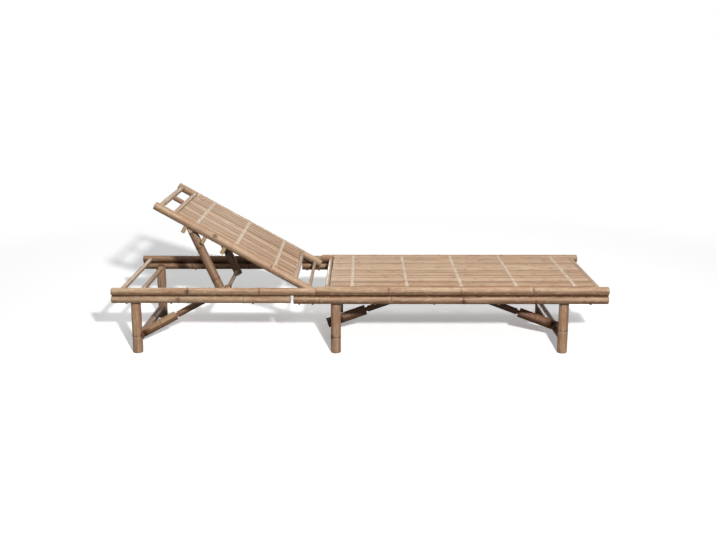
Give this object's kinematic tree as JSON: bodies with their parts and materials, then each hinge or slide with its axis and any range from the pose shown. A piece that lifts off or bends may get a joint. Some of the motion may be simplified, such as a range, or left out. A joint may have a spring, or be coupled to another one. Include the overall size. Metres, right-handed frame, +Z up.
{
  "type": "bamboo folding recliner",
  "caption": "Bamboo sun lounger with double side rails, a lashed slat bed, a backrest held by a swinging prop, and braced legs that fold under the bed.",
  "frame": {"origin": "on the floor under the middle of the bed", "axes": "+X towards the foot end, +Z up, +Y to the left of someone who lies on it"},
  "size_m": [2, 0.65, 0.6261],
  "materials": {
    "bamboo_pole": "satin",
    "split_bamboo": "satin",
    "smoked_bamboo": "satin",
    "dark_peg": "matte",
    "lashing": "matte"
  },
  "bodies": {
    "frame": {"backrest_axle": "dark_peg", "brace_anchor_bar": "smoked_bamboo", "foot_pivot_rod": "bamboo_pole", "head_end_crossbar": "bamboo_pole", "head_lower_rail_left": "bamboo_pole", "head_lower_rail_right": "bamboo_pole", "head_pivot_rod": "bamboo_pole", "head_upper_rail_left": "bamboo_pole", "head_upper_rail_right": "bamboo_pole", "middle_pivot_rod": "bamboo_pole", "prop_foot_rod": "bamboo_pole", "rail_pegs_left": "dark_peg", "rail_pegs_right": "dark_peg", "seat_battens": "smoked_bamboo", "seat_foot_crossbar": "bamboo_pole", "seat_head_crossbar": "bamboo_pole", "seat_lashings": "lashing", "seat_lower_rail_left": "bamboo_pole", "seat_lower_rail_right": "bamboo_pole", "seat_slats": "split_bamboo", "seat_upper_rail_left": "bamboo_pole", "seat_upper_rail_right": "bamboo_pole"},
    "backrest": {"backrest_battens": "smoked_bamboo", "backrest_bottom_bar": "bamboo_pole", "backrest_lashings": "lashing", "backrest_rail_left": "bamboo_pole", "backrest_rail_right": "bamboo_pole", "backrest_second_bar": "bamboo_pole", "backrest_slats": "split_bamboo", "backrest_top_bar": "bamboo_pole", "catch_pegs_left": "dark_peg", "catch_pegs_right": "dark_peg", "headrest_middle_bar": "bamboo_pole"},
    "prop": {"prop_pole_left": "bamboo_pole", "prop_pole_right": "bamboo_pole", "prop_top_rod": "bamboo_pole"},
    "head_legs": {"head_leg_left": "bamboo_pole", "head_leg_right": "bamboo_pole", "head_stretcher": "bamboo_pole", "head_stretcher_pegs": "dark_peg"},
    "head_brace": {"head_brace_neck": "smoked_bamboo", "head_brace_strut": "smoked_bamboo", "head_brace_tube": "smoked_bamboo"},
    "middle_legs": {"middle_leg_left": "bamboo_pole", "middle_leg_right": "bamboo_pole", "middle_stretcher": "bamboo_pole", "middle_stretcher_pegs": "dark_peg"},
    "middle_brace": {"middle_brace_neck": "smoked_bamboo", "middle_brace_strut": "smoked_bamboo", "middle_brace_tube": "smoked_bamboo"},
    "foot_legs": {"foot_leg_left": "bamboo_pole", "foot_leg_right": "bamboo_pole", "foot_stretcher": "bamboo_pole", "foot_stretcher_pegs": "dark_peg"},
    "foot_brace": {"foot_brace_neck": "smoked_bamboo", "foot_brace_strut": "smoked_bamboo", "foot_brace_tube": "smoked_bamboo"}
  },
  "joints": [
    {"name": "backrest_recline", "type": "hinge", "parent": "frame", "child": "backrest", "pos_m": [-0.205, 0, 0.2675], "axis": [0, 1, 0], "range_deg": [-29.4, 19.5]},
    {"name": "prop_swing", "type": "hinge", "parent": "frame", "child": "prop", "pos_m": [-0.558, 0, 0.23], "axis": [0, 1, 0], "range_deg": [-63.8, 42.4]},
    {"name": "head_leg_fold", "type": "hinge", "parent": "frame", "child": "head_legs", "pos_m": [-0.912, 0, 0.23], "axis": [0, -1, 0], "range_deg": [0, 60]},
    {"name": "head_brace_swing", "type": "hinge", "parent": "frame", "child": "head_brace", "pos_m": [-0.558, 0, 0.23], "axis": [0, 1, 0], "range_deg": [0, 19.9]},
    {"name": "middle_leg_fold", "type": "hinge", "parent": "frame", "child": "middle_legs", "pos_m": [-0.098, 0, 0.23], "axis": [0, -1, 0], "range_deg": [0, 60]},
    {"name": "middle_brace_swing", "type": "hinge", "parent": "frame", "child": "middle_brace", "pos_m": [0.366, 0, 0.23], "axis": [0, 1, 0], "range_deg": [0, 13]},
    {"name": "foot_leg_fold", "type": "hinge", "parent": "frame", "child": "foot_legs", "pos_m": [0.831, 0, 0.23], "axis": [0, 1, 0], "range_deg": [0, 60]},
    {"name": "foot_brace_swing", "type": "hinge", "parent": "frame", "child": "foot_brace", "pos_m": [0.366, 0, 0.23], "axis": [0, -1, 0], "range_deg": [0, 14.8]}
  ],
  "couplings": [
    {"joint": "prop_swing", "follows": "backrest_recline", "ratio": 2.167},
    {"joint": "head_brace_swing", "follows": "head_leg_fold", "ratio": 0.33},
    {"joint": "middle_brace_swing", "follows": "middle_leg_fold", "ratio": 0.215},
    {"joint": "foot_brace_swing", "follows": "foot_leg_fold", "ratio": 0.245}
  ]
}
